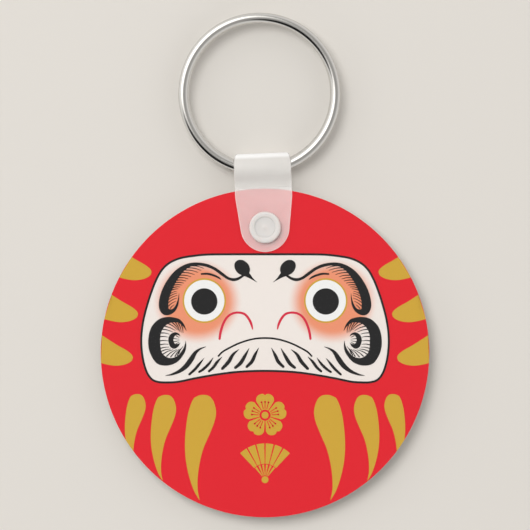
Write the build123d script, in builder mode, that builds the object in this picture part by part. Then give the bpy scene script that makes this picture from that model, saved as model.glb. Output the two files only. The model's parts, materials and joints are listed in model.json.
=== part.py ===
from build123d import *

import os
from math import atan2, cos, degrees, radians, sin, sqrt

# Key ring charm: a round printed disc on a folded plastic strap, with a split ring for keys.
#
# The charm lies on its back on a table.  +Z points out of the printed face, +Y runs from the
# disc to the split ring, and the origin is on the table under the middle of the whole object.
# All sizes are in millimetres.

# ---- driving dimensions ---------------------------------------------------------------

# laminated disc
disc_radius = 57.15 / 2  # a 2 1/4 inch disc
core_thickness = 2.0
back_sheet_thickness = 0.15
print_thickness = 0.10
film_thickness = 0.15
sheet_setback = 0.12  # how far the sheets stop short of the core's edge
core_edge_round = 0.10
disc_hole_radius = 1.60

# folded strap
strap_width = 9.9
strap_thickness = 0.5
strap_clearance = 0.05  # between a leaf and the disc's face
strap_end_radius = 4.25  # round end about the rivet
strap_taper_start = 5.3  # from the rivet, along the strap
strap_corner_round = 5.0
waist_start = 11.2  # from the rivet; beyond it the strip narrows towards its fold
fold_width = 9.4
strap_hole_radius = 1.55
eye_radius = 2.5  # loop round the ring's wire, to the middle of the strap's thickness
neck_radius = 3.0  # where the leaves run from the loop down to the disc
strap_lean = 2.4  # degrees that the strap stands off the disc's middle line

# snap rivet
rivet_from_centre = 21.8  # from the disc's centre
rivet_head_radius = 2.75
stud_head_thickness = 1.0
cap_thickness = 0.8
shank_radius = 1.50
neck_pin_radius = 1.40
cap_bore_radius = 1.45
cap_recess_radius = 1.75
cap_ledge_thickness = 0.35  # below the recess
barb_radius = 1.68
barb_thickness = 0.27
barb_rise = 0.12  # the stud's tip slopes down by this much
barb_slope = 0.80  # over this much of its radius
head_edge_round = 0.35

# split ring
ring_outer_radius = 14.1
wire_width = 1.7  # across the ring's face
wire_thickness = 1.07  # one turn, along the ring's axis
turn_gap = 0.06  # between the two turns
lower_turn_shift = 0.14  # the lower turn is this much smaller, and its centre is as far aside
flush_at = 65.0  # degrees round the ring from +X, where the two turns are flush outside
wire_edge_round = 0.42
step_half_angle = 12.0  # degrees; the wire steps from the lower to the upper turn
end_gap_angle = 3.0  # degrees between a cut end and the step
wire_from_rivet = 10.02  # middle of the wire where it passes through the strap's loop
pivot_from_rivet = 10.2  # middle of the loop, which the ring swings about

# ---- places worked out from them ------------------------------------------------------

back_leaf_bottom = stud_head_thickness
disc_bottom = back_leaf_bottom + strap_thickness + strap_clearance
core_bottom = disc_bottom + back_sheet_thickness
print_bottom = core_bottom + core_thickness
film_bottom = print_bottom + print_thickness
disc_top = film_bottom + film_thickness
middle = (disc_bottom + disc_top) / 2
cap_bottom = disc_top + strap_clearance + strap_thickness
leaf_height = middle - back_leaf_bottom - strap_thickness / 2  # leaf's middle, from the middle plane

wire_circle_radius = ring_outer_radius - wire_width / 2
ring_from_rivet = wire_from_rivet + wire_circle_radius
lean = radians(strap_lean)

# the origin is midway between the disc's lowest point and the ring's highest one
ring_above_disc = rivet_from_centre + ring_from_rivet * cos(lean)
disc_y = -(ring_above_disc + ring_outer_radius - disc_radius) / 2
rivet_y = disc_y + rivet_from_centre

# the strap's own axes: x across it, y along it towards the ring, origin on the rivet's axis
strap_plane = Plane(origin=(0, rivet_y, middle), x_dir=(cos(lean), sin(lean), 0), z_dir=(0, 0, 1))
strap_side = Plane(
    origin=strap_plane.origin, x_dir=strap_plane.y_dir, z_dir=strap_plane.x_dir
)  # x along the strap, y upwards
rivet_axis_plane = Plane(origin=(0, rivet_y, 0))
pivot = strap_plane.from_local_coords((0, pivot_from_rivet, 0))
ring_centre = strap_plane.from_local_coords((0, ring_from_rivet, 0))
ring_plane = Plane(origin=ring_centre, x_dir=strap_plane.x_dir, z_dir=(0, 0, 1))


# ---- disc -----------------------------------------------------------------------------


def disc_outline(radius):
    """Sketch of a round sheet with the rivet's hole in it, about the current plane's origin."""
    Circle(radius)
    with Locations((0, rivet_from_centre)):
        Circle(disc_hole_radius, mode=Mode.SUBTRACT)


with BuildPart() as core_disc:
    with BuildSketch(Plane(origin=(0, disc_y, core_bottom))):
        disc_outline(disc_radius)
    extrude(amount=core_thickness)
    rims = core_disc.edges().filter_by(GeomType.CIRCLE).sort_by(SortBy.RADIUS)[-2:]
    fillet(rims, core_edge_round)

with BuildPart() as back_sheet:
    with BuildSketch(Plane(origin=(0, disc_y, disc_bottom))):
        disc_outline(disc_radius - core_edge_round - sheet_setback)
    extrude(amount=back_sheet_thickness)

with BuildPart() as printed_sheet:
    with BuildSketch(Plane(origin=(0, disc_y, print_bottom))):
        disc_outline(disc_radius - core_edge_round)
    extrude(amount=print_thickness)

with BuildPart() as front_film:
    with BuildSketch(Plane(origin=(0, disc_y, film_bottom))):
        disc_outline(disc_radius - core_edge_round)
    extrude(amount=film_thickness)

# ---- strap ----------------------------------------------------------------------------

neck_along = sqrt((eye_radius + neck_radius) ** 2 - (leaf_height + neck_radius) ** 2)
neck_start = pivot_from_rivet - neck_along
neck_turn = degrees(atan2(neck_along, leaf_height + neck_radius))
leaf_end = -strap_end_radius - 1  # the strip is cut back to its outline afterwards
loop_end = pivot_from_rivet + eye_radius + strap_thickness / 2

with BuildPart() as strap:
    # the middle of the strip's thickness: front leaf, neck, loop round the wire, neck, back leaf
    with BuildLine(strap_side) as fold:
        front_leaf = Line((leaf_end, leaf_height), (neck_start, leaf_height))
        front_neck = JernArc(front_leaf @ 1, front_leaf % 1, neck_radius, neck_turn)
        loop = JernArc(front_neck @ 1, front_neck % 1, eye_radius, -180 - 2 * neck_turn)
        back_neck = JernArc(loop @ 1, loop % 1, neck_radius, neck_turn)
        Line(back_neck @ 1, (leaf_end, -leaf_height))
    with BuildSketch(Plane(origin=fold.line @ 0, x_dir=strap_plane.x_dir, z_dir=fold.line % 0)):
        Rectangle(strap_width, strap_thickness)
    sweep(path=fold.line)

    # the outline that the strip was cut to: a narrower fold, straight sides, a taper, a round end
    with BuildSketch(strap_plane) as outline:
        Circle(strap_end_radius)
        with Locations((0, strap_taper_start)):
            Rectangle(strap_width, waist_start - strap_taper_start, align=(Align.CENTER, Align.MIN))
        with Locations((0, waist_start)):
            Rectangle(fold_width, loop_end - waist_start, align=(Align.CENTER, Align.MIN))
        make_hull()
        taper_corners = outline.vertices().group_by(Axis.Y)[-3]
        fillet(taper_corners, strap_corner_round)
        Circle(strap_hole_radius, mode=Mode.SUBTRACT)
    extrude(amount=2 * eye_radius, both=True, mode=Mode.INTERSECT)

# ---- snap rivet -----------------------------------------------------------------------

ledge_top = cap_bottom + cap_ledge_thickness

with BuildPart() as rivet_stud:
    with BuildSketch(rivet_axis_plane):
        Circle(rivet_head_radius)
    extrude(amount=stud_head_thickness)
    fillet(rivet_stud.edges().group_by(Axis.Z)[0], head_edge_round)
    with BuildSketch(rivet_axis_plane.offset(stud_head_thickness)):
        Circle(shank_radius)
    extrude(amount=cap_bottom - stud_head_thickness)
    with BuildSketch(rivet_axis_plane.offset(cap_bottom)):
        Circle(neck_pin_radius)
    extrude(amount=cap_ledge_thickness)
    with BuildSketch(rivet_axis_plane.offset(ledge_top)):
        Circle(barb_radius)
    extrude(amount=barb_thickness)
    chamfer(rivet_stud.edges().group_by(Axis.Z)[-1], length=barb_rise, length2=barb_slope)

with BuildPart() as rivet_cap:
    with BuildSketch(rivet_axis_plane.offset(cap_bottom)):
        Circle(rivet_head_radius)
    extrude(amount=cap_thickness)
    fillet(rivet_cap.edges().group_by(Axis.Z)[-1], head_edge_round)
    with Locations((0, rivet_y, cap_bottom + cap_thickness)):
        CounterBoreHole(
            radius=cap_bore_radius,
            counter_bore_radius=cap_recess_radius,
            counter_bore_depth=cap_thickness - cap_ledge_thickness,
            depth=cap_thickness,
        )

# ---- split ring -----------------------------------------------------------------------

turn_rise = wire_thickness + turn_gap
step_at = -90.0  # degrees; the step lies inside the strap's loop


def turn_centre(share):
    """Centre of the wire's circle: share is 0 on the lower turn, 1 on the upper turn."""
    shift = lower_turn_shift * (1 - share)
    height = turn_rise * (share - 0.5)
    return ring_plane.from_local_coords(
        (shift * cos(radians(flush_at)), shift * sin(radians(flush_at)), height)
    )


def wire_section_plane(angle, share):
    """Plane across the wire at this angle round its circle: x outwards, y along the ring's axis."""
    a = radians(angle)
    outwards = ring_plane.x_dir * cos(a) + ring_plane.y_dir * sin(a)
    along = ring_plane.y_dir * cos(a) - ring_plane.x_dir * sin(a)
    radius = wire_circle_radius - lower_turn_shift * (1 - share)
    return Plane(origin=turn_centre(share) + outwards * radius, x_dir=outwards, z_dir=-along)


turn_arc = 360 - 2 * step_half_angle - end_gap_angle
step_sections = 9

with BuildPart() as split_ring:
    # the lower turn ends where the step begins, and the upper turn starts where it ends
    for share, side in ((0, -1), (1, 1)):
        with BuildSketch(wire_section_plane(step_at + side * step_half_angle, share)):
            RectangleRounded(wire_width, wire_thickness, wire_edge_round)
        revolve(axis=Axis(turn_centre(share), (0, 0, 1)), revolution_arc=side * turn_arc)
    for n in range(step_sections):
        part_way = n / (step_sections - 1)
        share = part_way * part_way * (3 - 2 * part_way)
        angle = step_at + step_half_angle * (2 * part_way - 1)
        with BuildSketch(wire_section_plane(angle, share)):
            RectangleRounded(wire_width, wire_thickness, wire_edge_round)
    loft()

# ---- write the parts ------------------------------------------------------------------

pieces = {
    "core_disc": core_disc,
    "back_sheet": back_sheet,
    "printed_sheet": printed_sheet,
    "front_film": front_film,
    "strap": strap,
    "rivet_stud": rivet_stud,
    "rivet_cap": rivet_cap,
    "split_ring": split_ring,
}
os.makedirs("parts", exist_ok=True)
for name, piece in pieces.items():
    piece.part.label = name
    export_step(piece.part, f"parts/{name}.step")
    box = piece.part.bounding_box()
    print(
        f"{name}: {len(piece.part.solids())} solid, {piece.part.volume:.3f} mm3, valid {piece.part.is_valid}, "
        f"{box.size.X:.2f} x {box.size.Y:.2f} x {box.size.Z:.2f}"
    )
print("joint places, mm: rivet", (0, round(rivet_y, 4)), "pivot", [round(x, 4) for x in pivot])
print("ring centre", [round(x, 4) for x in ring_centre], "disc centre y", round(disc_y, 4))
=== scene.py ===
import json

import bmesh
import bpy
import numpy as np
from bpy.props import FloatProperty, FloatVectorProperty, IntProperty, PointerProperty, StringProperty
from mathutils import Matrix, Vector


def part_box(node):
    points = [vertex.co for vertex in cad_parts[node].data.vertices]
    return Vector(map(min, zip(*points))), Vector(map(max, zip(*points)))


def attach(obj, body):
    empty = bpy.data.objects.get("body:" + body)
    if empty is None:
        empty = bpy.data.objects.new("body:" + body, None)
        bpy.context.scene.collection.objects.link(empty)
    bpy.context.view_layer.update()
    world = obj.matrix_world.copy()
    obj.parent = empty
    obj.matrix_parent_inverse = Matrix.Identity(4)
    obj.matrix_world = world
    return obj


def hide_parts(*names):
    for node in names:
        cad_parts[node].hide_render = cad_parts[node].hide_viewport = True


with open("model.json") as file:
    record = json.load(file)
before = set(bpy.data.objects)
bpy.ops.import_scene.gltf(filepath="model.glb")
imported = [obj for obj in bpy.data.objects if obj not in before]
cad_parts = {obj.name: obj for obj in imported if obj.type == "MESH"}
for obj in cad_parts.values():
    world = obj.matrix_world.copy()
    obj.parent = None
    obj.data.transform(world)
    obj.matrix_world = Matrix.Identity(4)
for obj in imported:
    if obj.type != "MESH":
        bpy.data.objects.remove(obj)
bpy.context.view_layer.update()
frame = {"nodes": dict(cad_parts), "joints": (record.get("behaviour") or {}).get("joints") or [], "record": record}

bl_info = {
    "name": "Daruma Key Ring",
    "version": (1, 0, 0),
    "blender": (4, 5, 0),
    "location": "3D View > Sidebar > Key Ring",
    "description": "Prints, finishes and lights a round daruma key ring",
    "category": "Add Mesh",
}

# ---- places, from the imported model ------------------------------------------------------

MM = 0.001
DISC_LOW, DISC_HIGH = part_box("core_disc")
SHEET_LOW, SHEET_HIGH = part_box("printed_sheet")
FILM_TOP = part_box("front_film")[1].z
CAP_LOW, CAP_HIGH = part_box("rivet_cap")
STUD_LOW, STUD_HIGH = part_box("rivet_stud")
RING_LOW, RING_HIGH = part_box("split_ring")
DISC_CENTRE = (DISC_LOW + DISC_HIGH) / 2
JOINTS = {joint["name"]: joint for joint in frame["joints"]}
RIVET = Vector(JOINTS["strap_swivel"]["pos_m"])
ACROSS = Vector(JOINTS["ring_swing"]["axis"]).normalized()  # across the strap, to its right
ALONG = Vector((0, 0, 1)).cross(ACROSS)  # along the strap, from the rivet to the ring
KEY_HOLE = Vector(next(m for m in frame["record"]["mounts"] if m["name"] == "key_ring")["pos_m"])

# the print is drawn in millimetres from the disc's centre, x to the right and y towards the strap, and
# its left half is mirrored for the right one
INK = 0.02  # thickness of one layer of ink, drawn thick enough to stack cleanly
INK_OVERHANG = 0.07  # how far the ink reaches past the sheet, so that the disc is red up to its rim
PRINT_RADIUS = (SHEET_HIGH.x - SHEET_LOW.x) / 2 / MM + INK_OVERHANG
RIVET_HOLE = 1.6  # radius of the rivet's hole in the print


# ---- settings ---------------------------------------------------------------------------


class PrintSettings(bpy.types.PropertyGroup):
    """Inks of the printed sheet and the line widths of the face."""

    ground: StringProperty(name="Ground red", description="Ink of the disc's ground", default="#E31C2A")
    gold: StringProperty(name="Gold", description="Ink of the robe's gold marks", default="#D0A638")
    skin: StringProperty(name="Face white", description="Ink of the face panel", default="#F1E9E3")
    black: StringProperty(name="Black", description="Ink of the brows, beard and lines", default="#1B1B1C")
    eye: StringProperty(name="Eye white", description="Ink of the eyes", default="#F3F3F2")
    blush: StringProperty(name="Blush", description="Airbrushed ink round the eyes", default="#EC9471")
    crimson: StringProperty(name="Crimson", description="Ink of the nose", default="#D62C46")
    panel_line: FloatProperty(
        name="Panel line", description="Width of the line round the face, in mm", default=0.36, min=0.05
    )
    lip_line: FloatProperty(
        name="Lip line", description="Width of the line over the beard, in mm", default=0.31, min=0.05
    )


class StrapSettings(bpy.types.PropertyGroup):
    """Look of the folded strap and the snap rivet."""

    milk: StringProperty(name="Milky plastic", description="Colour of the strap", default="#F9F8F6")
    cover: FloatProperty(
        name="Cover",
        description="How much of what lies behind it one skin of the strap hides",
        default=0.32,
        min=0.0,
        max=1.0,
        subtype="FACTOR",
    )
    fold_milk: StringProperty(
        name="Milky fold", description="Colour of the strap's fold", default="#DDDAD6"
    )
    fold_cover: FloatProperty(
        name="Fold cover",
        description="How much of what lies behind it one skin of the fold hides",
        default=0.93,
        min=0.0,
        max=1.0,
        subtype="FACTOR",
    )
    fold_start: FloatProperty(
        name="Fold start",
        description="Where the fold starts, from the rivet",
        default=6.95 * MM,
        unit="LENGTH",
    )
    edge_round: FloatProperty(
        name="Edge round", description="Rounding of the cut edges", default=0.13 * MM, unit="LENGTH"
    )
    rivet: StringProperty(name="Rivet", description="Colour of the snap rivet", default="#DEDAD7")


class RingSettings(bpy.types.PropertyGroup):
    """Shape and finish of the split ring's wire."""

    plating: StringProperty(name="Plating", description="Colour of the bright plating", default="#D9D7D3")
    squareness: FloatProperty(
        name="Squareness", description="2 is an oval wire, higher is flatter", default=2.15, min=2.0
    )
    steps: IntProperty(name="Steps", description="Sections round each turn", default=360, min=24)


class StageSettings(bpy.types.PropertyGroup):
    """Camera, floor and studio light."""

    field: FloatProperty(
        name="Field", description="Width of the view at the disc's face", default=92.04 * MM, unit="LENGTH"
    )
    height: FloatProperty(
        name="Height", description="Camera above the disc's face", default=0.6, unit="LENGTH"
    )
    floor: StringProperty(name="Floor", description="Colour of the floor", default="#DAD6D0")
    key_power: FloatProperty(
        name="Key light", description="Power of the main softbox", default=2.12, unit="POWER"
    )
    key_direction: FloatVectorProperty(
        name="Key direction", description="From the object to the main softbox", default=(-0.30, 0.30, 1.0)
    )


# ---- small helpers ----------------------------------------------------------------------


def linear(hex_colour):
    """sRGB hex text as linear red, green and blue, with a full alpha."""
    srgb = np.array([int(hex_colour[i : i + 2], 16) for i in (1, 3, 5)]) / 255
    channels = np.where(srgb <= 0.04045, srgb / 12.92, ((srgb + 0.055) / 1.055) ** 2.4)
    return (*channels.tolist(), 1.0)


def dimmed(hex_colour, share):
    """The colour as linear values with this share of its light."""
    return (*(channel * share for channel in linear(hex_colour)[:3]), 1.0)


def add_node(tree, kind, links=(), **settings):
    """Adds a node. Settings are its properties, or its inputs by name with _ for a space or by number
    after an i; links are (input name or number, output socket) pairs."""
    node = tree.nodes.new(kind)
    for name, value in settings.items():
        if name[0] == "i" and name[1:].isdigit():
            node.inputs[int(name[1:])].default_value = value
        elif name in node.bl_rna.properties:
            setattr(node, name, value)
        else:
            node.inputs[name.replace("_", " ")].default_value = value
    for socket, output in links:
        tree.links.new(output, node.inputs[socket])
    return node


def new_material(name, **principled):
    """A material with one Principled shader set to these values; returns it, its tree and the shader."""
    material = bpy.data.materials.new(name)
    material.use_nodes = True
    shader = material.node_tree.nodes["Principled BSDF"]
    for socket, value in principled.items():
        shader.inputs[socket.replace("_", " ")].default_value = value
    return material, material.node_tree, shader


def mesh_piece(name, vertices, faces, material, body, smooth=False):
    """A closed mesh as a piece: doubles merged, faces turned outwards, riding on its body."""
    mesh = bpy.data.meshes.new(name)
    mesh.from_pydata(vertices.tolist(), [], faces)
    form = bmesh.new()
    form.from_mesh(mesh)
    bmesh.ops.remove_doubles(form, verts=form.verts, dist=1e-7)
    bmesh.ops.recalc_face_normals(form, faces=form.faces)
    form.to_mesh(mesh)
    form.free()
    mesh.polygons.foreach_set("use_smooth", np.full(len(mesh.polygons), smooth))
    mesh.materials.append(material)
    piece = bpy.data.objects.new(name, mesh)
    bpy.context.scene.collection.objects.link(piece)
    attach(piece, body)
    return piece


def grid_faces(rows, columns, rows_closed=False):
    """Quads between rows of points, each row closed on itself, and the last row joined to the first one
    or not."""
    down = np.arange(rows if rows_closed else rows - 1)[:, None]
    along = np.arange(columns)[None, :]
    next_down, next_along = (down + 1) % rows, (along + 1) % columns
    corners = [
        down * columns + along,
        down * columns + next_along,
        next_down * columns + next_along,
        next_down * columns + along,
    ]
    return np.stack(corners, axis=-1).reshape(-1, 4).tolist()


def curve(points, steps=10, closed=False):
    """A smooth curve through the given rows of numbers, steps points to each span.

    Each span from p1 to p2 is the Catmull-Rom cubic, which leaves p1 along p2 - p0 and reaches p2
    along p3 - p1: p1 + t(p2-p0)/2 + t^2(2p0-5p1+4p2-p3)/2 + t^3(3p1-p0-3p2+p3)/2.
    """
    p = np.array(points, float)
    p = np.vstack([p[-1], p, p[:2]]) if closed else np.vstack([2 * p[0] - p[1], p, 2 * p[-1] - p[-2]])
    p0, p1, p2, p3 = (p[i : len(p) - 3 + i, None, :] for i in range(4))
    t = np.linspace(0, 1, steps, endpoint=False)[None, :, None]
    line = p1 + t * (p2 - p0) / 2 + t**2 * (2 * p0 - 5 * p1 + 4 * p2 - p3) / 2
    line = (line + t**3 * (3 * p1 - p0 - 3 * p2 + p3) / 2).reshape(-1, p.shape[1])
    return line if closed else np.vstack([line, p[-2]])


def mirrored(points):
    """The left half's points followed by their mirror images, in order round the shape."""
    left = np.array(points, float)
    right = left[::-1] * np.array([-1, 1])
    return np.vstack([left, right[right[:, 0] > 1e-6]])


def trimmed(rail):
    """Points beyond the print's edge are drawn straight in to it, towards the disc's centre."""
    reach = np.hypot(rail[:, 0], rail[:, 1])
    return rail * np.minimum(1, PRINT_RADIUS / np.maximum(reach, 1e-9))[:, None]


def ink(rails, layer, closed):
    """A thin printed area between two rails of points, the same number on each.

    Across the area a point is (1 - v) times the one rail plus v times the other, with v at 0 or 1,
    at the underside and the top of its layer of ink.  Open rails end in a cut face.
    """
    side_a, side_b = (trimmed(np.broadcast_to(r, np.shape(rails[0]))) for r in rails)
    low = SHEET_HIGH.z + layer * INK * MM
    high = low + INK * MM
    section = []
    for side, height in ((side_a, low), (side_a, high), (side_b, high), (side_b, low)):
        places = np.column_stack([side * MM, np.full(len(side), height)])
        places[:, 0] += DISC_CENTRE.x
        places[:, 1] += DISC_CENTRE.y
        section.append(places)
    vertices = np.stack(section, axis=1).reshape(-1, 3)
    faces = grid_faces(len(side_a), 4, rows_closed=closed)
    if not closed:
        last = len(vertices) - 4
        faces += [[0, 1, 2, 3], [last + 3, last + 2, last + 1, last]]
    return vertices, faces


def print_areas(name, areas, layer, material):
    """One piece made of several printed areas on the same layer."""
    vertices, faces = [], []
    for rails, closed in areas:
        part, quads = ink(rails, layer, closed)
        start = sum(len(v) for v in vertices)
        vertices.append(part)
        faces += [[corner + start for corner in quad] for quad in quads]
    return mesh_piece(name, np.vstack(vertices), faces, material, "disc")


def both_sides(areas):
    """The areas and their mirror images."""
    flip = np.array([-1, 1])
    return areas + [([np.asarray(r) * flip for r in rails], closed) for rails, closed in areas]


def stroke(points, steps=10, round_start=False, round_end=False, closed=False):
    """A brush stroke: rows of x, y and width.  Each rail stands half the width off the smooth path,
    and a round end closes as a half circle, width times the root of 1 - (1 - s/r)^2 over its last r."""
    line = curve(points, steps, closed)
    centre, half = line[:, :2], np.maximum(line[:, 2], 0.03) / 2
    if closed:
        along = np.roll(centre, -1, axis=0) - np.roll(centre, 1, axis=0)
    else:
        along = np.gradient(centre, axis=0)
    along /= np.linalg.norm(along, axis=1)[:, None]
    gone = np.r_[0, np.cumsum(np.linalg.norm(np.diff(centre, axis=0), axis=1))]
    if round_start:
        near = np.clip(gone / half[0], 0, 1)
        half = half * np.sqrt(np.maximum(1 - (1 - near) ** 2, 1e-3))
    if round_end:
        near = np.clip((gone[-1] - gone) / half[-1], 0, 1)
        half = half * np.sqrt(np.maximum(1 - (1 - near) ** 2, 1e-3))
    aside = np.column_stack([-along[:, 1], along[:, 0]]) * half[:, None]
    return [centre + aside, centre - aside], closed


def with_width(points, width):
    """The points as rows of x, y and width, for a stroke."""
    return np.column_stack([points, np.broadcast_to(width, len(points))])


def filled(outline, middle=None):
    """The inside of a closed outline that its middle sees all of."""
    outline = np.asarray(outline)
    middle = outline.mean(0) if middle is None else np.array(middle, float)
    return [outline, middle], True


def circle(x, y, radius, steps=96):
    """Points round a circle."""
    turn = np.linspace(0, 2 * np.pi, steps, endpoint=False)
    return np.column_stack([x + radius * np.cos(turn), y + radius * np.sin(turn)])


# ---- the print's shapes, left half, in millimetres from the disc's centre ---------------

PANEL_OUTLINE = [
    (0, 17.15), (-5.5, 17.15), (-9.95, 17.1), (-12.6, 16.85), (-14.8, 16.45), (-16.6, 15.65),
    (-17.9, 14.45), (-18.9, 12.7), (-19.7, 10.7), (-20.35, 8.7), (-20.95, 6.5), (-21.35, 4.3),
    (-21.5, 2.05), (-21.35, -0.15), (-21.0, -1.95), (-20.45, -3.5), (-19.6, -4.6), (-18.4, -5.05),
    (-16.6, -5.1), (-14.8, -4.95), (-12.2, -4.4), (-8.2, -3.7), (-4.4, -3.25), (0, -3.1),
]
EYE = (-10.55, 9.1)
EYE_RADIUS = 3.6
EYE_LINE = 0.28
EYE_NARROWING = 0.97  # width of the eye over its height
PUPIL = (-10.55, 8.96)
PUPIL_RADIUS = 2.28
BLUSH_MIDDLE = (-11.75, 8.95)
BLUSH_REACH = (7.5, 7.25)

# the brow: its outer edge and its inner edge, from beside the nose round to the hook's tip
BROW_OUTER = [
    (-3.4, 13.95), (-3.9, 13.5), (-4.7, 13.1), (-5.5, 12.97), (-6.4, 13.2), (-7.5, 14.0), (-8.6, 14.8),
    (-9.95, 15.4), (-11.3, 15.65), (-12.4, 15.67), (-13.4, 15.5), (-14.5, 15.05), (-15.7, 14.2),
    (-16.8, 12.9), (-17.7, 11.35), (-18.25, 9.8), (-18.45, 8.35), (-18.25, 7.4), (-17.7, 6.85),
    (-16.7, 6.8), (-15.8, 7.25), (-15.2, 8.15), (-14.95, 9.35), (-14.92, 10.4),
]
BROW_INNER = [
    (-3.35, 13.7), (-3.9, 13.25), (-4.6, 12.75), (-5.5, 12.53), (-6.5, 12.82), (-7.6, 13.55), (-8.8, 14.4),
    (-9.95, 14.92), (-11.15, 15.2), (-12.15, 15.2), (-13.0, 15.0), (-13.9, 14.4), (-14.75, 13.45),
    (-15.55, 12.2), (-16.2, 10.85), (-16.65, 9.6), (-16.8, 8.5), (-16.72, 7.9), (-16.5, 7.6),
    (-16.2, 7.52), (-15.75, 7.8), (-15.38, 8.5), (-15.1, 9.45), (-14.95, 10.4),
]
BROW_HAIR_BASES = [
    (-12.7, 15.15), (-14.0, 14.4), (-14.7, 13.5), (-15.25, 12.65), (-15.7, 11.8), (-16.1, 10.95),
]
BROW_HAIR_TIPS = [
    (-10.6, 14.7), (-11.6, 14.0), (-12.85, 13.25), (-13.7, 12.5), (-14.4, 11.8), (-15.05, 11.15),
]
HOOK_HAIR_BASES = [(-16.6, 10.2), (-16.85, 9.35), (-16.85, 8.5), (-16.45, 7.75)]
HOOK_HAIR_TIPS = [(-15.35, 10.75), (-15.2, 10.2), (-15.35, 9.4), (-15.75, 8.4)]
BROW_THIN_END = 0.32  # least width of the brow beside the nose, gone at the hook's tip
BROW_BULB = (-3.97, 14.83)
BULB_REACH = (1.52, 1.18)
BULB_TURN = np.radians(135)
BROW_TAIL = [(-3.6, 14.0, 1.3), (-2.85, 13.45, 0.75), (-2.15, 12.85, 0.3), (-1.4, 12.3, 0.04)]
EYELID = [
    (-11.2, 13.72, 0.28), (-9.95, 13.75, 0.36), (-8.85, 13.46, 0.36), (-8.05, 13.08, 0.30),
    (-7.6, 12.72, 0.06),
]

# the beard's curl: outer and inner edge of the large one, then of the small one inside it
CURL_OUTER = [
    (-13.65, 3.9), (-14.0, 4.85), (-14.5, 5.55), (-15.15, 6.0), (-16.7, 6.27), (-18.35, 5.9),
    (-19.7, 4.55), (-20.26, 2.5), (-20.05, 0.25), (-18.85, -1.75), (-17.05, -2.18), (-15.25, -1.55),
    (-14.0, 0.0), (-13.7, 1.2), (-13.78, 2.15),
]
CURL_INNER = [
    (-13.68, 3.85), (-14.1, 4.5), (-14.6, 4.95), (-15.2, 5.28), (-16.4, 5.26), (-17.4, 4.65),
    (-18.05, 3.55), (-18.22, 2.1), (-18.0, 0.25), (-17.2, -0.65), (-16.2, -0.87), (-15.15, -0.45),
    (-14.3, 0.6), (-13.95, 1.4), (-13.8, 2.15),
]
SMALL_CURL_OUTER = [
    (-14.7, 2.85), (-14.95, 3.35), (-15.7, 3.6), (-16.5, 3.15), (-16.8, 2.25), (-16.45, 1.1),
    (-15.75, 0.75), (-15.05, 1.15), (-14.72, 1.8),
]
SMALL_CURL_INNER = [
    (-14.72, 2.85), (-15.0, 3.08), (-15.4, 3.15), (-15.75, 2.85), (-15.92, 2.3), (-15.75, 1.75),
    (-15.4, 1.55), (-15.0, 1.63), (-14.74, 1.8),
]
CURL_HAIR_BASES = [
    (-14.5, 4.8), (-15.45, 5.25), (-16.45, 5.15), (-17.65, 4.4), (-18.05, 3.3), (-18.2, 2.1), (-18.15, 0.9),
    (-17.8, 0.0), (-16.7, -0.6), (-15.45, -0.5), (-14.95, -0.05),
]
CURL_HAIR_TIPS = [
    (-14.25, 3.5), (-14.75, 3.65), (-15.1, 4.0), (-15.75, 3.8), (-16.7, 3.15), (-16.8, 2.1), (-16.65, 1.1),
    (-16.1, 0.6), (-15.1, 0.65), (-14.5, 0.85), (-14.25, 1.15),
]
INNER_HAIR_BASES = [(-15.45, 3.0), (-15.85, 2.5), (-15.85, 1.95), (-15.45, 1.6)]
INNER_HAIR_TIPS = [(-14.9, 2.7), (-14.9, 2.4), (-14.9, 2.15), (-14.9, 1.9)]

NOSTRIL = [
    (-7.92, 2.25, 0.39), (-7.72, 3.6, 0.43), (-7.25, 5.1, 0.41), (-6.55, 6.25, 0.39), (-5.6, 6.88, 0.39),
    (-4.5, 7.02, 0.39), (-3.5, 6.72, 0.41), (-2.8, 5.9, 0.43), (-2.35, 4.95, 0.39), (-2.15, 4.1, 0.19),
]
LIP = [(-8.2, -0.65), (-7.5, 0.1), (-6.55, 0.7), (-4.55, 1.68), (-2.2, 2.4), (0, 2.6)]
WHISKERS = [  # from the thin upper tip to the blunt lower end
    [(-1.1, 0.9, 0.06), (-1.75, -0.35, 0.5), (-2.3, -1.5, 0.60), (-3.35, -2.55, 0.42)],
    [(-2.75, 0.85, 0.06), (-3.55, -0.6, 0.54), (-4.3, -1.8, 0.62), (-5.35, -2.7, 0.42)],
    [(-4.5, 0.65, 0.06), (-5.55, -0.25, 0.48), (-6.35, -1.55, 0.64), (-7.6, -2.9, 0.46)],
    [(-7.45, -0.65, 0.06), (-8.3, -1.55, 0.46), (-9.0, -2.5, 0.48), (-9.9, -3.3, 0.38)],
    [(-9.0, -0.8, 0.06), (-9.7, -1.8, 0.42), (-10.6, -2.7, 0.46), (-11.6, -3.4, 0.36)],
    [(-10.6, -0.9, 0.06), (-11.4, -1.9, 0.42), (-12.2, -2.85, 0.46), (-13.3, -3.85, 0.38)],
]
MOUSTACHE = [
    (-10.25, 1.1, 0.06), (-11.25, 0.72, 0.30), (-12.1, 0.05, 0.60), (-12.8, -1.05, 0.86),
    (-13.7, -2.25, 0.82), (-14.8, -3.12, 0.60), (-16.15, -3.7, 0.34), (-17.3, -3.93, 0.06),
]

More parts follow.
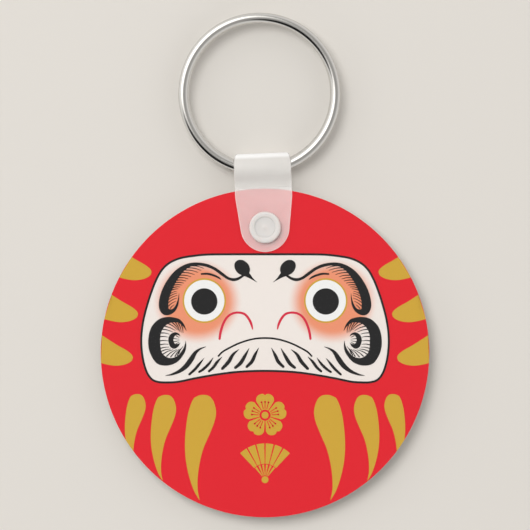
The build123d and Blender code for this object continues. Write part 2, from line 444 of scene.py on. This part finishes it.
# one fin and one drop of gold, each used at several places and sizes
FIN_UPPER = [(0, 0), (-0.3, 0.55), (-1.2, 1.25), (-2.7, 2.1), (-4.5, 3.25), (-6.4, 4.5)]
FIN_LOWER = [(0, 0), (-0.3, -0.66), (-1.35, -1.22), (-2.9, -1.45), (-4.5, -1.25), (-6.4, -0.75)]
FIN_TIPS = [(-19.7, 14.1), (-22.05, 6.8), (-22.93, -0.75)]
DROP_RIGHT = [
    (-1.13, -0.45), (0, 0), (1.3, -0.12), (2.15, -1.0), (2.63, -2.75), (2.4, -4.5), (1.6, -6.6),
    (0.48, -9.2), (-0.16, -11.6), (-0.52, -14.1), (-0.55, -16.4), (-0.2, -18.25),
]
DROP_LEFT = [
    (-1.13, -0.45), (-1.5, -1.05), (-1.85, -1.95), (-2.15, -3.0), (-2.4, -4.3), (-2.65, -6.45),
    (-2.75, -8.3), (-2.72, -10.0), (-2.5, -12.0), (-1.95, -14.45), (-1.15, -16.7), (-0.25, -18.25),
]
DROP_TOPS = [(-22.5, -7.15, 0.67), (-17.6, -7.3, 0.815), (-11.15, -7.3, 1.0)]  # x, y and size
BLOSSOM = (0, -10.8, 3.75)  # x, y and reach of the petals
FAN = (0, -22.0, 6.3)  # x, y of the pivot and reach of the blades


# ---- materials --------------------------------------------------------------------------


def mottled(tree, shader, colour, darker, size):
    """Gives the shader a colour that wanders between the colour and a slightly darker one, in clouds of
    this size in millimetres.  Returns the place on the object, for further patterns."""
    place = add_node(tree, "ShaderNodeTexCoord").outputs["Object"]
    cloud = add_node(tree, "ShaderNodeTexNoise", [("Vector", place)], Scale=1 / (size * MM), Detail=4.0)
    tone = add_node(
        tree, "ShaderNodeMix", [("Factor", cloud.outputs["Fac"])], data_type="RGBA", i6=darker, i7=colour
    )
    tree.links.new(tone.outputs[2], shader.inputs["Base Color"])
    return place


def waved(tree, shader, place, size, strength, height, detail=2.0, socket="Normal"):
    """Gives the shader waves of this size and height in millimetres.  Returns the waves."""
    wave = add_node(tree, "ShaderNodeTexNoise", [("Vector", place)], Scale=1 / (size * MM), Detail=detail)
    bump = add_node(
        tree, "ShaderNodeBump", [("Height", wave.outputs["Fac"])], Strength=strength, Distance=height * MM
    )
    tree.links.new(bump.outputs["Normal"], shader.inputs[socket])
    return wave.outputs["Fac"]


def laminate_ripple(tree, shader, place, socket="Coat Normal"):
    """The faint orange peel of a rolled film: soft waves about 1.5 mm across and 1 micron high."""
    waved(tree, shader, place, size=1.5, strength=0.25, height=0.004, detail=1.0, socket=socket)


def offset_ink(name, hex_colour):
    """Offset ink under a bonded gloss film: flat dense colour with a wet, slightly rippled shine."""
    material, tree, shader = new_material(
        name, Roughness=0.55, Specular_IOR_Level=0.0, Coat_Weight=1.0, Coat_Roughness=0.06, Coat_IOR=1.49
    )
    place = mottled(tree, shader, linear(hex_colour), dimmed(hex_colour, 0.955), size=0.6)
    laminate_ripple(tree, shader, place)
    return material


def airbrushed_face(settings):
    """Face white with an airbrushed patch round each eye, full in the middle and soft at its rim.

    A place's distance from the face's middle line stands for its x, so one patch serves both eyes.  Its
    distance from the patch's middle, divided by the patch's reach each way, gives how far it has faded.
    """
    material = offset_ink("airbrushed_face_ink", settings.skin)
    tree = material.node_tree
    shader = tree.nodes["Principled BSDF"]
    place = add_node(tree, "ShaderNodeTexCoord")
    centred = add_node(
        tree, "ShaderNodeVectorMath", [(0, place.outputs["Object"])], operation="SUBTRACT",
        i1=(DISC_CENTRE.x, DISC_CENTRE.y, SHEET_HIGH.z),
    )
    folded = add_node(tree, "ShaderNodeVectorMath", [(0, centred.outputs[0])], operation="ABSOLUTE")
    sideways = add_node(tree, "ShaderNodeSeparateXYZ", [(0, folded.outputs[0])])
    upwards = add_node(tree, "ShaderNodeSeparateXYZ", [(0, centred.outputs[0])])
    across = add_node(
        tree, "ShaderNodeMath", [(0, sideways.outputs["X"])], operation="ADD", i1=BLUSH_MIDDLE[0] * MM
    )
    along = add_node(
        tree, "ShaderNodeMath", [(0, upwards.outputs["Y"])], operation="ADD", i1=-BLUSH_MIDDLE[1] * MM
    )
    wide = add_node(
        tree, "ShaderNodeMath", [(0, across.outputs[0])], operation="DIVIDE", i1=BLUSH_REACH[0] * MM
    )
    high = add_node(
        tree, "ShaderNodeMath", [(0, along.outputs[0])], operation="DIVIDE", i1=BLUSH_REACH[1] * MM
    )
    spot = add_node(tree, "ShaderNodeCombineXYZ", [("X", wide.outputs[0]), ("Y", high.outputs[0])])
    reach = add_node(tree, "ShaderNodeVectorMath", [(0, spot.outputs[0])], operation="LENGTH")
    fade = add_node(
        tree, "ShaderNodeMapRange", [("Value", reach.outputs["Value"])], interpolation_type="SMOOTHSTEP",
        From_Min=0.68, From_Max=1.06, To_Min=1.0, To_Max=0.0,
    )
    plain = shader.inputs["Base Color"].links[0].from_socket
    face = add_node(
        tree, "ShaderNodeMix", [("Factor", fade.outputs["Result"]), (6, plain)], data_type="RGBA",
        i7=linear(settings.blush),
    )
    tree.links.new(face.outputs[2], shader.inputs["Base Color"])
    return material


def clear_film():
    """Gloss laminating film, 150 microns of clear polypropylene: nearly unseen, with bright edges."""
    material, tree, shader = new_material(
        "clear_laminating_film", Base_Color=(0.12, 0.12, 0.12, 1.0), Roughness=0.06, IOR=1.49, Alpha=0.02
    )
    laminate_ripple(tree, shader, add_node(tree, "ShaderNodeTexCoord").outputs["Object"], "Normal")
    return material


def styrene_board():
    """Die-cut white styrene board: matt and even, with fine shear lines round its cut edge."""
    material, tree, shader = new_material("white_styrene_board", Roughness=0.45, IOR=1.59)
    place = mottled(tree, shader, linear("#F1EFEC"), linear("#E3E0DC"), size=2.0)
    # shear lines are 2.5 mm long and 0.12 mm apart, which the mapping scales to a millimetre
    flat = add_node(tree, "ShaderNodeMapping", [("Vector", place)], Scale=(1 / 2.5, 1 / 2.5, 1 / 0.12))
    waved(tree, shader, flat.outputs[0], size=1.0, strength=0.35, height=0.03, detail=3.0)
    return material


def coated_card():
    """White coated card that closes the back: smooth, with a soft satin shine and faint mottling."""
    material, tree, shader = new_material(
        "coated_back_card", Roughness=0.32, Coat_Weight=0.4, Coat_Roughness=0.15
    )
    place = mottled(tree, shader, linear("#F2F0ED"), linear("#EAE7E3"), size=1.2)
    laminate_ripple(tree, shader, place)
    return material


def milky_vinyl(name, hex_colour, cover, roughness):
    """Soft vinyl strip, milky and half clear: a cloudy body with flow marks and a waxy shine."""
    material, tree, shader = new_material(
        name, Roughness=roughness, IOR=1.53, Alpha=cover, Specular_IOR_Level=0.6, Coat_Weight=0.15,
        Coat_Roughness=0.2,
    )
    place = mottled(tree, shader, linear(hex_colour), dimmed(hex_colour, 0.93), size=2.5)
    waved(tree, shader, place, size=1.1, strength=0.4, height=0.02)
    return material


def fold_with_painted_highlight(settings):
    """The fold's vinyl, with a painted highlight: its colour turns to white towards the fold's very end, where the
    bend catches the light.
    """
    material = milky_vinyl("milky_vinyl_fold_painted_highlight", settings.fold_milk, settings.fold_cover, 0.5)
    tree = material.node_tree
    colour = tree.nodes["Principled BSDF"].inputs["Base Color"]
    place = add_node(tree, "ShaderNodeTexCoord")
    along = add_node(
        tree, "ShaderNodeVectorMath", [(0, place.outputs["Object"])], operation="DOT_PRODUCT", i1=ALONG
    )
    rivet = RIVET.dot(ALONG)
    # painted highlight: the fold's colour is mixed towards white over its last stretch, where the bend faces the
    # light
    highlight_start, highlight_full = 11.8 * MM, 12.6 * MM  # from the rivet
    painted_highlight = add_node(
        tree, "ShaderNodeMapRange", [("Value", along.outputs["Value"])], interpolation_type="SMOOTHSTEP",
        From_Min=rivet + highlight_start, From_Max=rivet + highlight_full,
    )
    # the fold's colour mixed towards white here is a painted highlight
    white = add_node(
        tree, "ShaderNodeMix", [("Factor", painted_highlight.outputs["Result"]), (6, colour.links[0].from_socket)],
        data_type="RGBA", i7=(1.0, 1.0, 1.0, 1.0),
    )
    tree.links.new(white.outputs[2], colour)
    return material


def moulded_polypropylene(settings):
    """Moulded milky polypropylene of the snap rivet: dense white with a smooth waxy skin."""
    material, tree, shader = new_material(
        "moulded_polypropylene", Roughness=0.34, IOR=1.49, Subsurface_Weight=0.35,
        Subsurface_Scale=0.6 * MM, Subsurface_Radius=(1.0, 0.8, 0.7),
    )
    place = mottled(tree, shader, linear(settings.rivet), dimmed(settings.rivet, 0.95), size=0.8)
    waved(tree, shader, place, size=0.25, strength=0.3, height=0.01)
    return material


def nickel_plate(settings):
    """Bright nickel plating over drawn steel wire: a warm mirror with fine lines along the wire."""
    material, tree, shader = new_material(
        "nickel_plated_steel", Base_Color=linear(settings.plating), Metallic=1.0, Roughness=0.12
    )
    place = add_node(tree, "ShaderNodeTexCoord")
    centred = add_node(
        tree, "ShaderNodeVectorMath", [(0, place.outputs["Object"])], operation="SUBTRACT", i1=KEY_HOLE
    )
    flat = add_node(
        tree, "ShaderNodeVectorMath", [(0, centred.outputs[0])], operation="MULTIPLY", i1=(1, 1, 0)
    )
    radius = add_node(tree, "ShaderNodeVectorMath", [(0, flat.outputs[0])], operation="LENGTH")
    height = add_node(tree, "ShaderNodeSeparateXYZ", [(0, centred.outputs[0])])
    along = add_node(
        tree, "ShaderNodeCombineXYZ", [("X", radius.outputs["Value"]), ("Y", height.outputs["Z"])]
    )
    # the die's marks are a few microns apart, and are drawn 0.08 mm apart to show
    marks = waved(tree, shader, along.outputs[0], size=0.08, strength=0.25, height=0.004)
    polish = add_node(tree, "ShaderNodeMapRange", [("Value", marks)], To_Min=0.07, To_Max=0.17)
    tree.links.new(polish.outputs["Result"], shader.inputs["Roughness"])
    return material


def give(node, material):
    """Puts one material on a CAD node."""
    slots = frame["nodes"][node].data.materials
    slots.clear()
    slots.append(material)


# ---- the pieces -------------------------------------------------------------------------


class KEYRING_OT_disc(bpy.types.Operator):
    """Finish the disc's board, back card and clear film, and lay the red ground"""

    bl_idname = "keyring.disc"
    bl_label = "Disc and red ground"

    def execute(self, context):
        settings = context.scene.keyring_print
        give("core_disc", styrene_board())
        give("back_sheet", coated_card())
        give("front_film", clear_film())
        red = offset_ink("red_offset_ink", settings.ground)
        give("printed_sheet", red)
        rivet = np.array([RIVET.x - DISC_CENTRE.x, RIVET.y - DISC_CENTRE.y]) / MM
        hole = circle(*rivet, RIVET_HOLE, 180)
        rim = circle(0, 0, PRINT_RADIUS, 180)
        print_areas("red_ground", [([rim, hole], True)], 0, red)
        return {"FINISHED"}


class KEYRING_OT_face(bpy.types.Operator):
    """Print the face panel with its blush, its outline and the eyes"""

    bl_idname = "keyring.face"
    bl_label = "Face panel and eyes"

    def execute(self, context):
        settings = context.scene.keyring_print
        black = offset_ink("black_offset_ink", settings.black)
        gold = offset_ink("gold_offset_ink", settings.gold)
        white = offset_ink("eye_white_ink", settings.eye)
        outline = curve(mirrored(PANEL_OUTLINE), 8, closed=True)
        print_areas("face_panel", [filled(outline, (0, 7))], 1, airbrushed_face(settings))
        line = with_width(mirrored(PANEL_OUTLINE), settings.panel_line)
        print_areas("panel_line", [stroke(line, 8, closed=True)], 2, black)
        outer, white_edge, inner = (
            circle(0, 0, EYE_RADIUS + more) * (EYE_NARROWING, 1) + EYE for more in (EYE_LINE, 0, -0.1)
        )
        print_areas("eye_rings", both_sides([([outer, inner], True)]), 2, gold)
        print_areas("eye_whites", both_sides([filled(white_edge)]), 3, white)
        print_areas("pupils", both_sides([filled(circle(*PUPIL, PUPIL_RADIUS))]), 4, black)
        return {"FINISHED"}


def hairs(bases, tips, count, width, sag):
    """Fine hairs side by side, from one curve to another, thinner towards their tips.  The middle of a
    hair stands off its straight line by the sag times its length."""
    starts, ends = curve(bases, 20), curve(tips, 20)
    strokes = []
    for station in np.linspace(0, len(starts) - 1, count).astype(int):
        start, end = starts[station], ends[station]
        way = end - start
        start = start - way * 0.08
        middle = (start + end) / 2 + sag * np.array([-way[1], way[0]])
        strokes.append(stroke([(*start, width), (*middle, width * 0.75), (*end, width * 0.4)], 5))
    return strokes


class KEYRING_OT_hair(bpy.types.Operator):
    """Print the brows, the beard's curls, the nose, the lip and the whiskers"""

    bl_idname = "keyring.hair"
    bl_label = "Brows, nose and beard"

    def execute(self, context):
        settings = context.scene.keyring_print
        black = bpy.data.materials["black_offset_ink"]
        crimson = offset_ink("crimson_offset_ink", settings.crimson)
        # the brow's width is the distance between its two edges, and never quite nothing where it starts
        outer, inner = curve(BROW_OUTER, 12), curve(BROW_INNER, 12)
        least = BROW_THIN_END * np.linspace(1, 0, len(outer))
        brow = with_width((outer + inner) / 2, np.hypot(np.linalg.norm(outer - inner, axis=1), least))
        cos, sin = np.cos(BULB_TURN), np.sin(BULB_TURN)
        bulb = circle(0, 0, 1.0) * BULB_REACH @ np.array([[cos, sin], [-sin, cos]]) + BROW_BULB
        print_areas("brows", both_sides([stroke(brow, 1, round_start=True)]), 3, black)
        print_areas("brow_bulbs", both_sides([filled(bulb)]), 4, black)
        print_areas("brow_tails", both_sides([stroke(BROW_TAIL)]), 2, black)
        brow_hairs = hairs(BROW_HAIR_BASES, BROW_HAIR_TIPS, count=11, width=0.2, sag=0.06)
        brow_hairs += hairs(HOOK_HAIR_BASES, HOOK_HAIR_TIPS, count=6, width=0.17, sag=0.06)
        print_areas("brow_hairs", both_sides(brow_hairs), 2, black)
        print_areas("eyelids", both_sides([stroke(EYELID, round_start=True)]), 2, black)
        curls = [
            ([curve(CURL_OUTER, 12), curve(CURL_INNER, 12)], False),
            ([curve(SMALL_CURL_OUTER, 12), curve(SMALL_CURL_INNER, 12)], False),
        ]
        print_areas("beard_curls", both_sides(curls), 3, black)
        beard_hairs = hairs(CURL_HAIR_BASES, CURL_HAIR_TIPS, count=19, width=0.2, sag=0.06)
        beard_hairs += hairs(INNER_HAIR_BASES, INNER_HAIR_TIPS, count=4, width=0.16, sag=0)
        print_areas("beard_hairs", both_sides(beard_hairs), 2, black)
        print_areas("nostrils", both_sides([stroke(NOSTRIL, round_start=True)]), 2, crimson)
        lip = with_width(mirrored(LIP), settings.lip_line)
        print_areas("lip_line", [stroke(lip, 12, round_start=True, round_end=True)], 2, black)
        whiskers = [stroke(points, round_end=True) for points in WHISKERS] + [stroke(MOUSTACHE)]
        print_areas("whiskers", both_sides(whiskers), 3, black)
        return {"FINISHED"}


def blossom(x, y, size):
    """Five petals: from 0.26 of the size out to an edge that falls off by the fourth power of the angle
    from the petal's middle, with a small notch there."""
    petals = []
    spread = np.radians(np.linspace(-32.5, 32.5, 41))
    edge = size * (1 - 0.24 * (spread / spread[-1]) ** 4 - 0.07 * np.exp(-((spread / 0.07) ** 2)))
    for k in range(5):
        bearing = np.radians(90 + 72 * k) + spread
        way = np.column_stack([np.cos(bearing), np.sin(bearing)])
        petals.append(([(x, y) + way * edge[:, None], (x, y) + way * size * 0.26], False))
    return petals + [filled(circle(x, y, size * 0.16, 48))]


def stamens(x, y, size):
    """Three stamens on each petal: a line from 0.3 to 0.62 of the size, with a round head on its end."""
    areas = []
    for bearing in np.radians([90 + 72 * k + aside for k in range(5) for aside in (-15, 0, 15)]):
        way = np.array([np.cos(bearing), np.sin(bearing)])
        head = np.array([x, y]) + way * size * 0.62
        areas.append(stroke([(*(np.array([x, y]) + way * size * 0.3), 0.14), (*head, 0.14)], 4))
        areas.append(filled(circle(*head, 0.17, 20)))
    return areas


def folding_fan(x, y, reach):
    """Six blades from 0.44 of the reach to the whole of it, each on a stick that runs to the pivot."""
    areas = []
    for bearing in np.radians(np.linspace(-37, 37, 6)):
        spread = bearing + np.radians(np.linspace(-6.2, 6.2, 9))
        way = np.column_stack([np.sin(spread), np.cos(spread)])
        areas.append(([(x, y) + way * reach, (x, y) + way * reach * 0.44], False))
        stick = np.array([np.sin(bearing), np.cos(bearing)])
        inner, outer = (x, y) + stick * 0.75, (x, y) + stick * reach * 0.42
        areas.append(stroke([(*inner, 0.12), (*outer, 0.36)], 4))
    return areas + [filled(circle(x, y, 0.6, 40))]


class KEYRING_OT_gold(bpy.types.Operator):
    """Print the robe's gold fins and drops, the blossom and the folding fan"""

    bl_idname = "keyring.gold"
    bl_label = "Gold marks"

    def execute(self, context):
        gold = bpy.data.materials["gold_offset_ink"]
        red = bpy.data.materials["red_offset_ink"]
        upper, lower = curve(FIN_UPPER, 10), curve(FIN_LOWER, 10)
        fins = [([upper + tip, lower + tip], False) for tip in FIN_TIPS]
        print_areas("gold_fins", both_sides(fins), 1, gold)
        left, right = curve(DROP_LEFT, 10), curve(DROP_RIGHT, 10)
        drops = [([left * size + (x, y), right * size + (x, y)], False) for x, y, size in DROP_TOPS]
        print_areas("gold_drops", both_sides(drops), 1, gold)
        print_areas("gold_blossom", blossom(*BLOSSOM), 1, gold)
        print_areas("blossom_stamens", stamens(*BLOSSOM), 2, red)
        print_areas("gold_fan", folding_fan(*FAN), 1, gold)
        return {"FINISHED"}


def pressed_round(points):
    """The strap's points with the fold's two corners rounded: within a corner's radius r of the strap's
    end, s past where the rounding starts, no point stands further aside than half the width, less r,
    plus the root of r^2 - s^2."""
    half_width, corner = 4.7 * MM, 0.4 * MM  # of the fold
    place = points - np.array(RIVET)
    along, aside = place @ np.array(ALONG), place @ np.array(ACROSS)
    past = np.clip(along - along.max() + corner, 0, corner)
    widest = half_width - corner + np.sqrt(corner**2 - past**2)
    too_far = np.where(past > 0, np.maximum(np.abs(aside) - widest, 0), 0) * np.sign(aside)
    return points - too_far[:, None] * np.array(ACROSS)


class KEYRING_OT_strap(bpy.types.Operator):
    """Round the folded strap's cut edges and give it its milky vinyl"""

    bl_idname = "keyring.strap"
    bl_label = "Folded strap"

    def execute(self, context):
        settings = context.scene.keyring_strap
        mesh = frame["nodes"]["strap"].data.copy()
        mesh.materials.clear()
        mesh.materials.append(milky_vinyl("milky_vinyl", settings.milk, settings.cover, 0.3))
        mesh.materials.append(fold_with_painted_highlight(settings))
        mesh.materials.append(milky_vinyl("milky_vinyl_cut_edge", "#F6F3F0", 0.5, 0.45))
        form = bmesh.new()
        form.from_mesh(mesh)
        bmesh.ops.remove_doubles(form, verts=form.verts, dist=1e-7)
        bmesh.ops.dissolve_limit(form, angle_limit=0.02, verts=form.verts, edges=form.edges)
        # beyond the disc the strip's two leaves part and turn over the ring, where the milk is denser
        border = RIVET + ALONG * settings.fold_start
        everything = form.verts[:] + form.edges[:] + form.faces[:]
        bmesh.ops.bisect_plane(form, geom=everything, dist=1e-7, plane_co=border, plane_no=ALONG)
        for face in form.faces:
            beyond = (face.calc_center_median() - border).dot(ALONG) > 0
            face.material_index = 1 if beyond else 0
        form.to_mesh(mesh)
        form.free()
        points = np.empty(3 * len(mesh.vertices))
        mesh.vertices.foreach_get("co", points)
        mesh.vertices.foreach_set("co", pressed_round(points.reshape(-1, 3)).ravel())
        mesh.update()
        mesh.polygons.foreach_set("use_smooth", np.ones(len(mesh.polygons), bool))
        strap = bpy.data.objects.new("strap_strip", mesh)
        context.scene.collection.objects.link(strap)
        bevel = strap.modifiers.new("cut_edges", "BEVEL")
        bevel.width = settings.edge_round
        bevel.segments = 3
        bevel.limit_method = "ANGLE"
        bevel.angle_limit = np.radians(50)
        bevel.material = 2
        bevel.harden_normals = True
        strap.visible_shadow = False  # light passes through the milk and reaches what lies under it
        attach(strap, "strap_and_rivet")
        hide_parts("strap")
        return {"FINISHED"}


def turned(name, profile, body, material, steps=96):
    """A turned shape: a closed profile of radius and height carried round the rivet's axis."""
    profile = np.array(profile) * MM
    turn = np.linspace(0, 2 * np.pi, steps, endpoint=False)
    x = RIVET.x + profile[:, 0, None] * np.cos(turn)
    y = RIVET.y + profile[:, 0, None] * np.sin(turn)
    z = np.broadcast_to(profile[:, 1, None], x.shape)
    vertices = np.stack([x, y, z], axis=-1).reshape(-1, 3)
    faces = grid_faces(len(profile), steps, rows_closed=True)
    return mesh_piece(name, vertices, faces, material, body, smooth=True)


class KEYRING_OT_rivet(bpy.types.Operator):
    """Turn the snap rivet's cap and its stud with the tip that snaps into the cap"""

    bl_idname = "keyring.rivet"
    bl_label = "Snap rivet"

    def execute(self, context):
        plastic = moulded_polypropylene(context.scene.keyring_strap)
        low, high = CAP_LOW.z / MM, CAP_HIGH.z / MM
        head = (CAP_HIGH.x - CAP_LOW.x) / 2 / MM
        rim = curve([
            (1.5, low), (1.5, low + 0.3), (1.64, low + 0.46), (1.84, high - 0.12), (2.02, high - 0.02),
            (2.2, high), (2.45, high), (head - 0.17, high - 0.05), (head - 0.03, high - 0.2),
            (head, low + 0.3), (head - 0.02, low + 0.08), (head - 0.1, low),
        ], 6)
        cap = turned("rivet_cap_head", rim, "strap_and_rivet", plastic)
        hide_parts("rivet_cap")
        base = STUD_LOW.z / MM
        flange = (STUD_HIGH.x - STUD_LOW.x) / 2 / MM
        leaf = base + 1.0  # the flange's top, which the strap's back leaf lies on
        underside = curve([
            (0, base), (flange - 0.55, base), (flange - 0.15, base + 0.1), (flange, base + 0.42),
            (flange - 0.04, leaf - 0.08), (flange - 0.12, leaf),
        ], 6)
        shank = [(1.5, leaf), (1.5, low), (1.4, low), (1.4, low + 0.34)]
        dished_tip = curve([
            (1.6, low + 0.36), (1.77, low + 0.5), (1.66, low + 0.55), (1.1, low + 0.5),
            (0.6, low + 0.5), (0.3, low + 0.54), (0, low + 0.6),
        ], 6)
        shape = np.vstack([underside, shank, dished_tip])
        stud = turned("rivet_stud_body", shape, "strap_and_rivet", plastic)
        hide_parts("rivet_stud")
        return {"FINISHED"}


class KEYRING_OT_ring(bpy.types.Operator):
    """Wind the split ring from one plated wire, two turns with a step between them"""

    bl_idname = "keyring.split_ring"
    bl_label = "Split ring"

    def execute(self, context):
        settings = context.scene.keyring_ring
        half_wire = np.array([1.7, 1.07]) / 2 * MM  # half the wire's width and thickness
        outer = (RING_HIGH.x - RING_LOW.x) / 2
        rise = 1.13 * MM  # from the lower turn to the upper one
        shift = 0.14 * MM  # the lower turn is this much smaller, and its centre is as far aside
        flush = np.radians(65)  # where the two turns are flush outside
        start, end = -435, 255  # degrees round the ring
        step_start, step_length = -102, 24  # the wire steps from the lower to the upper turn here
        turn = np.linspace(start, end, int((end - start) / 360 * settings.steps))
        share = np.clip((turn - step_start) / step_length, 0, 1)
        share = share**2 * (3 - 2 * share)  # 0 on the lower turn, 1 on the upper one
        angle = np.radians(turn)
        out = np.column_stack([np.cos(angle), np.sin(angle)])
        aside = shift * (1 - share)
        middle = out * (outer - half_wire[0] - aside)[:, None]
        middle += aside[:, None] * np.array([np.cos(flush), np.sin(flush)])
        # an oval section, |x/a|^n + |y/b|^n = 1, drawn in to a rounded cut at both ends
        around = np.linspace(0, 2 * np.pi, 40, endpoint=False)
        power = 2 / settings.squareness
        section = np.column_stack([
            half_wire[0] * np.sign(np.cos(around)) * np.abs(np.cos(around)) ** power,
            half_wire[1] * np.sign(np.sin(around)) * np.abs(np.sin(around)) ** power,
        ])
        length = np.radians(turn - start) * outer
        from_end = np.minimum(length, length[-1] - length) / (0.25 * MM)
        size = 0.75 + 0.25 * np.sqrt(1 - (1 - np.clip(from_end, 0, 1)) ** 2)
        across = section[None, :, 0] * size[:, None]
        local_x = middle[:, 0, None] + out[:, 0, None] * across
        local_y = middle[:, 1, None] + out[:, 1, None] * across
        local_z = (rise * (share - 0.5))[:, None] + section[None, :, 1] * size[:, None]
        vertices = (
            np.array(KEY_HOLE)
            + local_x[..., None] * np.array(ACROSS)
            + local_y[..., None] * np.array(ALONG)
            + local_z[..., None] * np.array([0, 0, 1])
        ).reshape(-1, 3)
        rows, columns = len(turn), len(around)
        faces = grid_faces(rows, columns)
        faces += [list(range(columns)), list(range((rows - 1) * columns, rows * columns))]
        ring = mesh_piece(
            "split_ring_wire", vertices, faces, nickel_plate(settings), "ring", smooth=True
        )
        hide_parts("split_ring")
        return {"FINISHED"}


# ---- stage ------------------------------------------------------------------------------


class KEYRING_OT_stage(bpy.types.Operator):
    """Set the camera, the pale floor, the softbox and the studio's walls"""

    bl_idname = "keyring.stage"
    bl_label = "Camera, floor and light"

    def execute(self, context):
        settings = context.scene.keyring_stage
        scene = context.scene
        camera = bpy.data.objects.new("camera", bpy.data.cameras.new("camera"))
        sensor = 36.0  # millimetres
        camera.data.sensor_width = sensor
        camera.data.lens = sensor * settings.height / settings.field
        camera.data.clip_start = 0.01
        camera.location = (0, 0, FILM_TOP + settings.height)
        scene.collection.objects.link(camera)
        scene.camera = camera

        reach = 3.0  # half the floor's side, in metres
        mesh = bpy.data.meshes.new("floor")
        corners = [(-reach, -reach, 0), (reach, -reach, 0), (reach, reach, 0), (-reach, reach, 0)]
        mesh.from_pydata(corners, [], [(0, 1, 2, 3)])
        paper = new_material("matt_paper_floor", Base_Color=linear(settings.floor), Roughness=0.9)[0]
        mesh.materials.append(paper)
        floor = bpy.data.objects.new("floor", mesh)
        scene.collection.objects.link(floor)

        key = bpy.data.objects.new("key_light", bpy.data.lights.new("key_light", "AREA"))
        key.data.shape = "DISK"
        key.data.size = 0.4  # metres across
        key.data.energy = settings.key_power
        direction = Vector(settings.key_direction).normalized()
        key.location = direction * 0.8  # metres from the object
        key.rotation_euler = direction.to_track_quat("Z", "Y").to_euler()
        key.visible_glossy = False  # glossy surfaces mirror the world's softer patch instead
        scene.collection.objects.link(key)

        scene.world = studio_walls()
        scene.view_settings.view_transform = "Standard"
        return {"FINISHED"}


def studio_walls():
    """Studio light from all round: grey overhead, a bright wall to the upper left, pale low down, a black
    flag to the lower left, and the main softbox as glossy surfaces mirror it, all soft-edged."""
    world = bpy.data.worlds.new("studio_walls")
    world.use_nodes = True
    tree = world.node_tree
    background = tree.nodes["Background"]
    place = add_node(tree, "ShaderNodeTexCoord")
    way = add_node(
        tree, "ShaderNodeVectorMath", [(0, place.outputs["Generated"])], operation="NORMALIZE"
    )
    up = add_node(tree, "ShaderNodeSeparateXYZ", [(0, way.outputs[0])])
    wall = add_node(
        tree, "ShaderNodeMapRange", [("Value", up.outputs["Z"])], interpolation_type="SMOOTHSTEP",
        From_Min=0.68, From_Max=0.97, To_Min=0.82, To_Max=0.42,
    )
    level = wall.outputs["Result"]
    patches = (  # direction, cosine where it starts, cosine where it is full, brightness
        ((-0.75, 0.45, 0.75), 0.80, 0.93, 1.05),  # bright wall
        ((-0.34, -0.48, 0.81), 0.87, 0.955, 0.01),  # black flag
        ((-0.30, 0.30, 1.0), 0.93, 0.985, 2.3),  # softbox
    )
    for direction, start, full, brightness in patches:
        nearness = add_node(
            tree, "ShaderNodeVectorMath", [(0, way.outputs[0])], operation="DOT_PRODUCT",
            i1=Vector(direction).normalized(),
        )
        inside = add_node(
            tree, "ShaderNodeMapRange", [("Value", nearness.outputs["Value"])],
            interpolation_type="SMOOTHSTEP", From_Min=start, From_Max=full,
        )
        mixed = add_node(
            tree, "ShaderNodeMix", [("Factor", inside.outputs["Result"]), (2, level)],
            data_type="FLOAT", i3=brightness,
        )
        level = mixed.outputs[0]
    tree.links.new(level, background.inputs["Strength"])
    background.inputs["Color"].default_value = (1.0, 0.985, 0.965, 1.0)  # a little warm
    return world


# ---- panel and running ------------------------------------------------------------------

STEPS = (
    KEYRING_OT_stage, KEYRING_OT_disc, KEYRING_OT_face, KEYRING_OT_hair, KEYRING_OT_gold,
    KEYRING_OT_strap, KEYRING_OT_rivet, KEYRING_OT_ring,
)
GROUPS = {
    "keyring_print": PrintSettings,
    "keyring_strap": StrapSettings,
    "keyring_ring": RingSettings,
    "keyring_stage": StageSettings,
}


class KEYRING_PT_panel(bpy.types.Panel):
    """Sidebar list of the key ring's pieces"""

    bl_idname = "KEYRING_PT_panel"
    bl_label = "Key Ring"
    bl_space_type = "VIEW_3D"
    bl_region_type = "UI"
    bl_category = "Key Ring"

    def draw(self, context):
        for group in GROUPS:
            settings = getattr(context.scene, group)
            box = self.layout.box()
            for name in settings.__annotations__:
                box.prop(settings, name)
        for step in STEPS:
            self.layout.operator(step.bl_idname)


def register():
    for group, kind in GROUPS.items():
        bpy.utils.register_class(kind)
        setattr(bpy.types.Scene, group, PointerProperty(type=kind))
    for kind in (*STEPS, KEYRING_PT_panel):
        bpy.utils.register_class(kind)


def unregister():
    for kind in (KEYRING_PT_panel, *reversed(STEPS)):
        bpy.utils.unregister_class(kind)
    for group, kind in reversed(GROUPS.items()):
        delattr(bpy.types.Scene, group)
        bpy.utils.unregister_class(kind)


def main():
    register()
    for step in STEPS:
        family, action = step.bl_idname.split(".")
        getattr(getattr(bpy.ops, family), action)()


if __name__ == "__main__":
    main()
